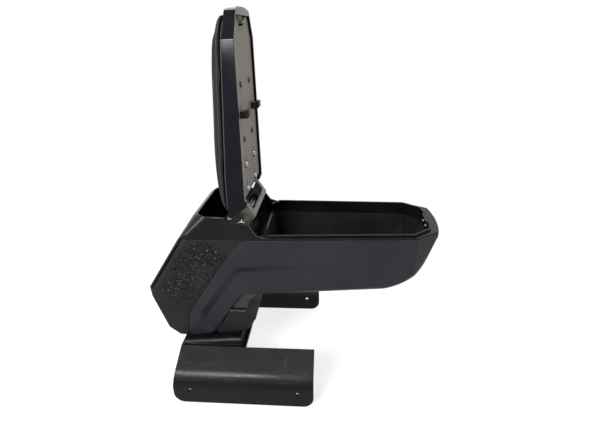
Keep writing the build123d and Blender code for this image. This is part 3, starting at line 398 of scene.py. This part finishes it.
plate_steel = steel("plated_hinge", (0.17, 0.165, 0.15), roughness=0.42)
black_steel = steel("blackened_hinge", (0.02, 0.02, 0.021), roughness=0.42)
dark_screws = steel("dark_screws", (0.07, 0.066, 0.06), roughness=0.40)
pin_steel = steel("bright_pin", (0.5, 0.5, 0.5), roughness=0.25)
spring_steel = steel("black_spring", (0.045, 0.045, 0.05), roughness=0.35)
screw_steel = steel("plated_screws", (0.30, 0.295, 0.28), roughness=0.36)
print("finishes made:", len(bpy.data.materials))

# %% [markdown]
# ### Which piece has which finish
#
# The CAD pieces keep their meshes. Each one only gets its finish, in the slot that it came with.

# %% Finishes on the CAD pieces
FINISHES = {
    satin: ["arm_body"],
    cover_satin: ["rear_cover"],
    core_plastic: ["leg_core"],
    foot_plastic: ["foot_block"],
    gloss: ["top_frame"],
    lid_gloss: ["lid_frame"],
    dull: ["storage_bin"],
    lining: ["lid_plate", "latch_release"],
    clip_plastic: ["lid_clip_left", "lid_clip_right"],
    board_plastic: ["pad_board", "pad"],
    saddle_plastic: ["saddle_base"],
    plate_steel: ["hinge_leaf"],
    black_steel: ["hinge_base", "core_bolts", "core_nuts", "latch_strike"],
    pin_steel: ["hinge_pin"],
    spring_steel: ["hinge_spring"],
    screw_steel: ["leaf_screws", "hinge_screws", "body_screws"],
    dark_screws: ["plate_screws", "strike_screws"],
}
for material, names in FINISHES.items():
    for name in names:
        slots = nodes[name].data.materials
        for index in range(len(slots)):
            slots[index] = material
print("dressed:", sum(len(names) for names in FINISHES.values()), "of", len(nodes))

# %% [markdown]
# ## Floor
#
# The floor is plain and pale. Rays that see the white backdrop see the floor as white too, except
# for a fifth of it close to the armrest, which takes a soft shadow. Further out the shadow's share
# fades, so that no horizon shows. All other rays see an ordinary pale floor.

# %% Floor
FLOOR_HALF = 6
FLOOR_DROP = 0.0005
WHITE_SHARE = (0.80, 1.0)
FADE = (0.12, 0.75)

floor_mesh = bpy.data.meshes.new("floor")
floor_mesh.from_pydata([(x * FLOOR_HALF, y * FLOOR_HALF, 0)
                        for x, y in ((-1, -1), (1, -1), (1, 1), (-1, 1))], [], [(0, 1, 2, 3)])
floor = bpy.data.objects.new("floor", floor_mesh)
floor.location.z = -FLOOR_DROP
bpy.context.scene.collection.objects.link(floor)
floor_finish, floor_nodes, floor_link, floor_shader = finish("floor", (0.9, 0.9, 0.9), 0.9,
                                                              specular=0.1)
glow = floor_nodes.new("ShaderNodeEmission")
glow.inputs["Strength"].default_value = WHITE
place = floor_nodes.new("ShaderNodeTexCoord")
away = floor_nodes.new("ShaderNodeVectorMath")
away.operation = "LENGTH"
floor_link(place.outputs["Object"], away.inputs[0])
share = floor_nodes.new("ShaderNodeMath")
share.operation = "MULTIPLY"
floor_link(backdrop_seen(floor_nodes, floor_link), share.inputs[0])
floor_link(spread(floor_nodes, floor_link, away.outputs["Value"], *WHITE_SHARE, *FADE),
           share.inputs[1])
floor_link(mixed(floor_nodes, floor_link, share.outputs[0], floor_shader.outputs[0],
                 glow.outputs[0]), floor_nodes["Material Output"].inputs["Surface"])
floor.data.materials.append(floor_finish)
print("floor:", 2 * FLOOR_HALF, "m wide")

# %% [markdown]
# ## Pieces built here
#
# New pieces need two things from the CAD model: the lid's own axes, and the surfaces to sit on.
# In the lid's axes, in millimetres, u runs up the lid from the hinge pin, y across it and w out of
# its padded side. A search tree of a mesh's faces then tells where a ray meets the mesh, and how
# the face leans.

# %% The lid's axes
HINGE = Vector((-0.058, 0.0, 0.2245))
MM = 1000  # in a metre


def lid_point(u, y, w):
    """A point of the lid in the model's frame, from millimetres in the lid's axes."""
    return Vector((HINGE.x - w / MM, y / MM, HINGE.z + u / MM))


def lid_place(point):
    """The u, y and w of a point of the lid, in millimetres."""
    return (point.z - HINGE.z) * MM, point.y * MM, (HINGE.x - point.x) * MM


print("the lid's axes start at", tuple(round(v, 4) for v in HINGE))

# %% Surfaces to sit on, and new pieces
def faces_of(mesh):
    """A search tree of a mesh's faces."""
    return BVHTree.FromPolygons([v.co for v in mesh.vertices], [p.vertices for p in mesh.polygons])


def new_piece(name, verts, faces, material, body, slot, smooth=True):
    """An object from points and faces, with its finish and its body. The slot is not used."""
    mesh = bpy.data.meshes.new(name)
    mesh.from_pydata(verts, [], faces)
    mesh.materials.append(material)
    mesh.polygons.foreach_set("use_smooth", [smooth] * len(mesh.polygons))
    mesh.update()
    piece = bpy.data.objects.new(name, mesh)
    bpy.context.scene.collection.objects.link(piece)
    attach(piece, body)


# %% [markdown]
# ### The pad
#
# The real pad is foam on a board, under a cover that is stretched and glued. It could be carved
# with subdivision surfaces, but foam under tension has its own shape, so the CAD pad is taken as
# the cut foam. First it is remeshed evenly. Then its rim is rounded: the height over the board is
# kept in the middle and falls in a quarter circle to a share of it at the outline. The long sides
# are pulled in a little between the corners.

# %% The pad's lines, in millimetres
PAD_OUTLINE = [(23.0, 62.0), (29.0, 62.0), (209.0, 54.8), (234.2, 37.4)]
PAD_OUTLINE += [(u, -y) for u, y in reversed(PAD_OUTLINE)]
DECK = [(0.0, 10.6), (60.0, 10.6), (213.0, 3.6), (241.5, 2.6)]
PAD_TOP = [(23, 14.2), (35, 20.4), (52, 22.8), (80, 23.8), (140, 21.0), (188, 18.2), (224, 13.6),
           (234.2, 6.6)]
PAD_RISE = 2.7


def along(line, u):
    """The height of a line of (u, w) points at u."""
    for (u0, w0), (u1, w1) in zip(line, line[1:]):
        if u <= u1:
            return w0 + (w1 - w0) * (u - u0) / (u1 - u0)
    return line[-1][1]


def foam_floor(u):
    """The height of the foam's underside, which lies on its board."""
    return along(DECK, u) + PAD_RISE


def rim_distance(u, y):
    """How far a point of the pad lies from the pad's outline."""
    distances = []
    for (u0, y0), (u1, y1) in zip(PAD_OUTLINE, PAD_OUTLINE[1:] + PAD_OUTLINE[:1]):
        run = Vector((u1 - u0, y1 - y0))
        part = max(0.0, min(1.0, Vector((u - u0, y - y0)).dot(run) / run.length_squared))
        distances.append((Vector((u0, y0)) + part * run - Vector((u, y))).length)
    return min(distances)


print("pad:", PAD_OUTLINE[3][0] - PAD_OUTLINE[0][0], "mm long")

# %% The foam, with a rounded rim
VOXEL = 0.0035
ROUND = 9.0
STIFF = 0.30
WAIST, WAIST_FROM, WAIST_LENGTH = 0.012, 29, 180


def remeshed(piece, voxel):
    """Replace a piece's mesh by an even one."""
    even = piece.modifiers.new("even", "REMESH")
    even.mode = "VOXEL"
    even.voxel_size = voxel
    mesh = bpy.data.meshes.new_from_object(
        piece.evaluated_get(bpy.context.evaluated_depsgraph_get()))
    piece.modifiers.clear()
    piece.data = mesh


foam_mesh = nodes["pad"].data.copy()
foam_mesh.materials.clear()
pad = bpy.data.objects.new("lid_pad", foam_mesh)
bpy.context.scene.collection.objects.link(pad)
remeshed(pad, VOXEL)
for vertex in pad.data.vertices:
    u, y, w = lid_place(vertex.co)
    low = foam_floor(u)
    inside = min(1.0, rim_distance(u, y) / ROUND)
    share_up = STIFF + (1 - STIFF) * math.sqrt(1 - (1 - inside) ** 2)
    up_the_side = max(0.0, min(1.0, (u - WAIST_FROM) / WAIST_LENGTH))
    narrower = 1 - WAIST * math.sin(math.pi * up_the_side)
    vertex.co = lid_point(u, y * narrower, low + max(0.0, w - low) * share_up)
print("foam points:", len(pad.data.vertices))

# %% [markdown]
# ### The cover's tension
#
# A short cloth run with inner pressure and no gravity fills the cut foam as its cover does, while
# the underside stays on the board. No point may move more than 4 mm, so the pad keeps its size. A
# little smoothing and one subdivision then hide the remesh's steps.

# %% Filling by a cloth run
PRESSURE = 4.0
FARTHEST = 0.004
STIFFNESS = 30
MOMENTS = 20
ON_BOARD = 1.2


def puffed(piece, held):
    """Fill a piece by a short cloth run. Points for which held is true stay where they are."""
    start = [v.co.copy() for v in piece.data.vertices]
    group = piece.vertex_groups.new(name="held")
    group.add([i for i, co in enumerate(start) if held(co)], 1.0, "REPLACE")
    cloth = piece.modifiers.new("cloth", "CLOTH")
    cloth.settings.vertex_group_mass = "held"
    cloth.settings.use_pressure = True
    cloth.settings.uniform_pressure_force = PRESSURE
    cloth.settings.effector_weights.gravity = 0.0
    cloth.settings.tension_stiffness = STIFFNESS
    cloth.settings.compression_stiffness = STIFFNESS
    cloth.point_cache.frame_start, cloth.point_cache.frame_end = 1, MOMENTS
    for moment in range(1, MOMENTS + 1):
        bpy.context.scene.frame_set(moment)
    grown = bpy.data.meshes.new_from_object(
        piece.evaluated_get(bpy.context.evaluated_depsgraph_get()))
    piece.modifiers.clear()
    farthest = 0.0
    for vertex, was, now in zip(piece.data.vertices, start, grown.vertices):
        step = now.co - was
        farthest = max(farthest, step.length)
        vertex.co = was + step * min(1.0, FARTHEST / max(step.length, 1e-9))
    bpy.data.meshes.remove(grown)
    piece.vertex_groups.clear()
    bpy.context.scene.frame_set(1)
    return farthest * MM


def on_board(point):
    """Whether a point of the pad rests on its board."""
    u, _, w = lid_place(point)
    return w < foam_floor(u) + ON_BOARD


print("the cover would move at most", round(puffed(pad, on_board), 1), "mm")

# %% The pad's even skin
SMOOTHINGS = 3
SMOOTHING = 0.4

smoother = bmesh.new()
smoother.from_mesh(pad.data)
for _ in range(SMOOTHINGS):
    bmesh.ops.smooth_vert(smoother, verts=[v for v in smoother.verts if not on_board(v.co)],
                          factor=SMOOTHING, use_axis_x=True, use_axis_y=True, use_axis_z=True)
smoother.to_mesh(pad.data)
smoother.free()
finer = pad.modifiers.new("finer", "SUBSURF")
finer.levels = finer.render_levels = 1
pad_mesh = bpy.data.meshes.new_from_object(
    pad.evaluated_get(bpy.context.evaluated_depsgraph_get()))
pad.modifiers.clear()
pad.data = pad_mesh
pad.data.materials.append(pad_cover)
pad.data.polygons.foreach_set("use_smooth", [True] * len(pad.data.polygons))
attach(pad, "lid")
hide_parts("pad")
print("pad faces:", len(pad.data.polygons))

# %% [markdown]
# ### The pad's seam
#
# The cover is sewn from a top panel and a side band, so a narrow welt runs round the pad where
# they meet. It follows the filled pad: each point of the outline, a third of the way up, is moved
# to the nearest point of the pad's surface, and a thin tube is drawn through them.

# %% A tube through points
def tube(points, radius, closed=True, sides=8):
    """Points and faces of a tube through points."""
    verts, faces = [], []
    count = len(points)
    for i, point in enumerate(points):
        before = points[i - 1] if closed or i else points[i]
        after = points[(i + 1) % count] if closed or i < count - 1 else points[i]
        run = (after - before).normalized()
        side = run.orthogonal().normalized()
        if verts:
            side = (last_side - run * last_side.dot(run)).normalized()
        last_side = side
        other = run.cross(side)
        for k in range(sides):
            angle = 2 * math.pi * k / sides
            verts.append(point + radius * (math.cos(angle) * side + math.sin(angle) * other))
    for i in range(count if closed else count - 1):
        for k in range(sides):
            a, b = i * sides, ((i + 1) % count) * sides
            faces.append((a + k, a + (k + 1) % sides, b + (k + 1) % sides, b + k))
    if not closed:
        faces.append(tuple(reversed(range(sides))))
        faces.append(tuple(range((count - 1) * sides, count * sides)))
    return verts, faces


# %% The welt
WELT_STEP = 2.0
WELT_UP = 0.36
WELT_RADIUS = 0.0009


def evenly(corners, spacing):
    """Points at even steps along a closed line of corners."""
    points = []
    for (u0, y0), (u1, y1) in zip(corners, corners[1:] + corners[:1]):
        steps = max(1, round(math.hypot(u1 - u0, y1 - y0) / spacing))
        points += [(u0 + (u1 - u0) * k / steps, y0 + (y1 - y0) * k / steps) for k in range(steps)]
    return points


pad_faces = faces_of(pad.data)
welt_line = []
for u, y in evenly(PAD_OUTLINE, WELT_STEP):
    w = foam_floor(u) + WELT_UP * (along(PAD_TOP, u) - along(DECK, u) - PAD_RISE)
    welt_line.append(pad_faces.find_nearest(lid_point(u, y, w))[0])
for _ in range(2):
    welt_line = [(welt_line[i - 1] + 2 * p + welt_line[(i + 1) % len(welt_line)]) / 4
                 for i, p in enumerate(welt_line)]
new_piece("pad_welt", *tube(welt_line, WELT_RADIUS), seam_cover_painted_highlight, "lid", "cover")
print("welt length:", round(sum((a - b).length for a, b in zip(welt_line, welt_line[1:])), 3), "m")

# %% [markdown]
# ### The facets' finish
#
# The sides of the rear cover are embossed with small sharp facets. Most of them are nearly black
# on the real cover, and some catch the light. Every facet is the same plastic on the real thing,
# but so small that the lamps here can't pick single ones out, so the light they catch is painted:
# the tone changes from cell to cell of a Voronoi pattern, black in most and a painted glint of
# dark grey in about one in four.

# %% The facets' finish
def faceted(name, dark, light, roughness, specular, cell):
    """A plastic with painted glints: its tone changes from cell to cell, in cells of a given size.
    """
    material, tree_nodes, link, shader = finish(name, dark, roughness, specular=specular)
    cells = tree_nodes.new("ShaderNodeTexVoronoi")
    cells.inputs["Scale"].default_value = 1.0 / cell
    link(surface_place(tree_nodes, link), cells.inputs["Vector"])
    apart = tree_nodes.new("ShaderNodeSeparateColor")
    link(cells.outputs["Color"], apart.inputs["Color"])
    # Painted glints: about one cell in four is painted dark grey, where a facet would catch the
    # light.
    tone = spread(tree_nodes, link, apart.outputs["Red"], 0.0, 1.0, 0.72, 1.0)
    link(two_tones(tree_nodes, link, tone, dark, light), shader.inputs["Base Color"])
    fine = noise(tree_nodes, link, surface_place(tree_nodes, link), 900.0, detail=2.0)
    link(raised(tree_nodes, link, fine, 0.00001, soft_edges(tree_nodes, 0.0002)),
         shader.inputs["Normal"])
    return material


facet_painted_glints = faceted("facet_painted_glints", (0.0006, 0.0006, 0.0012), (0.045, 0.045, 0.048),
                        roughness=0.36, specular=0.06, cell=0.0022)
print("finishes made:", len(bpy.data.materials))

# %% [markdown]
# ### Facets on the rear cover
#
# The facets thin out towards the front and the foot. A bump map would stay flat at the outline, so
# each facet is a low stone with a crooked base, set a little into the shell. They stand in rows
# along the rear slope. A ray from outside finds the shell at each place, and chance, weighted by
# the place, decides which ones are left out.

# %% Places on the rear cover, in millimetres seen from the side
TIP = Vector((-182.6, 140.8))
CROWN = Vector((-129.7, 218.9))
SLOPE = (CROWN - TIP).normalized()
INWARD = Vector((SLOPE.y, -SLOPE.x))
OUTSIDE = 0.2
cover_faces = faces_of(nodes["rear_cover"].data)


def cover_hit(place, from_side):
    """Where a ray from one side meets the cover at a place, and how the face leans there."""
    spot, lean, *_ = cover_faces.ray_cast(
        Vector((place.x / MM, from_side * OUTSIDE, place.y / MM)), Vector((0, -from_side, 0)))
    return spot, lean


print("rear slope:", round((CROWN - TIP).length, 1), "mm")

# %% A stone
SUNK = 0.0003
chance = random.Random(7)
stones, stone_faces = [], []


def stone(spot, lean, size, height):
    """A low stone with a crooked base on a surface point."""
    side = lean.orthogonal().normalized()
    other = lean.cross(side)
    corners = chance.choice((3, 4, 4, 5))
    turn = chance.uniform(0, 2 * math.pi)
    first = len(stones)
    for k in range(corners):
        angle = turn + 2 * math.pi * (k + chance.uniform(-0.22, 0.22)) / corners
        reach = size * chance.uniform(0.75, 1.15)
        stones.append(spot + reach * (math.cos(angle) * side + math.sin(angle) * other)
                      - SUNK * lean)
    peak = size * chance.uniform(0.0, 0.35)
    angle = chance.uniform(0, 2 * math.pi)
    stones.append(spot + peak * (math.cos(angle) * side + math.sin(angle) * other)
                  + height * lean)
    ring = list(range(first, first + corners))
    stone_faces.append(tuple(reversed(ring)))
    for k in range(corners):
        stone_faces.append((ring[k], ring[(k + 1) % corners], first + corners))


# %% The facets
ROWS, FIRST_ROW, ROW_GAP = 16, 17.0, 3.3
PLACES, FIRST_PLACE, PLACE_GAP = 30, 1.5, 3.7
CROOKED = 0.6
DENSE, THINNER_BY_ROW, THINNER_AT_FOOT, FOOT = 1.35, 0.075, 0.5, 30
HIGHEST = 208.5
FACES_SIDEWAYS = 0.9
OUTER_SHELL = 0.045


def facet_rows(from_side):
    """Stones on one side of the cover."""
    for row in range(ROWS):
        across = FIRST_ROW + ROW_GAP * row
        for step in range(PLACES):
            run = FIRST_PLACE + PLACE_GAP * step + PLACE_GAP / 2 * (row % 2)
            place = TIP + SLOPE * run + INWARD * across
            place += Vector((chance.uniform(-CROOKED, CROOKED), chance.uniform(-CROOKED, CROOKED)))
            dense = DENSE - THINNER_BY_ROW * row - THINNER_AT_FOOT * max(0.0, (FOOT - run) / FOOT)
            if place.y > HIGHEST or chance.random() > dense:
                continue
            spot, lean = cover_hit(place, from_side)
            if spot and abs(lean.y) > FACES_SIDEWAYS and spot.y * from_side > OUTER_SHELL:
                stone(spot, lean, chance.uniform(0.0018, 0.0029), chance.uniform(0.0004, 0.0009))


facet_rows(-1)
facet_rows(1)
new_piece("cover_facets", stones, stone_faces, facet_painted_glints, "base", "embossed_plastic",
          smooth=False)
print("facets:", len(stone_faces), "faces")

# %% [markdown]
# ### Lines on the rear cover
#
# Two fine raised lines run beside the rear slope and frame the facets there, and a third follows
# the seam to the arm. They stand 0.4 mm proud, half sunk in the shell. Points along each line are
# dropped onto the shell from the side, and a thin tube goes through them.

# %% The lines
SEAM = [Vector((-138.5, 104.0)), Vector((-76.5, 195.0)), Vector((-66.0, 203.5))]
INSETS = (11.5, 14.0)
FROM_TIP, TO_CROWN = 9, 79
LINE_STEP = 4.0
LINE_RADIUS = 0.0004
line_points, line_faces = [], []


def line_on_cover(points, from_side):
    """Add a thin tube on one side of the cover, through points seen from that side."""
    dropped = []
    for near, far in zip(points, points[1:]):
        steps = max(1, round((far - near).length / LINE_STEP))
        for k in range(steps):
            spot, _ = cover_hit(near + (far - near) * k / steps, from_side)
            if spot:
                dropped.append(spot)
    verts, faces = tube(dropped, LINE_RADIUS, closed=False, sides=6)
    line_faces.extend(tuple(i + len(line_points) for i in face) for face in faces)
    line_points.extend(verts)


for from_side in (-1, 1):
    for inset in INSETS:
        line_on_cover([TIP + SLOPE * run + INWARD * inset for run in (FROM_TIP, TO_CROWN)],
                      from_side)
    line_on_cover(SEAM, from_side)
new_piece("cover_lines", line_points, line_faces, cover_satin, "base", "embossed_plastic")
print("lines:", len(line_faces), "faces")
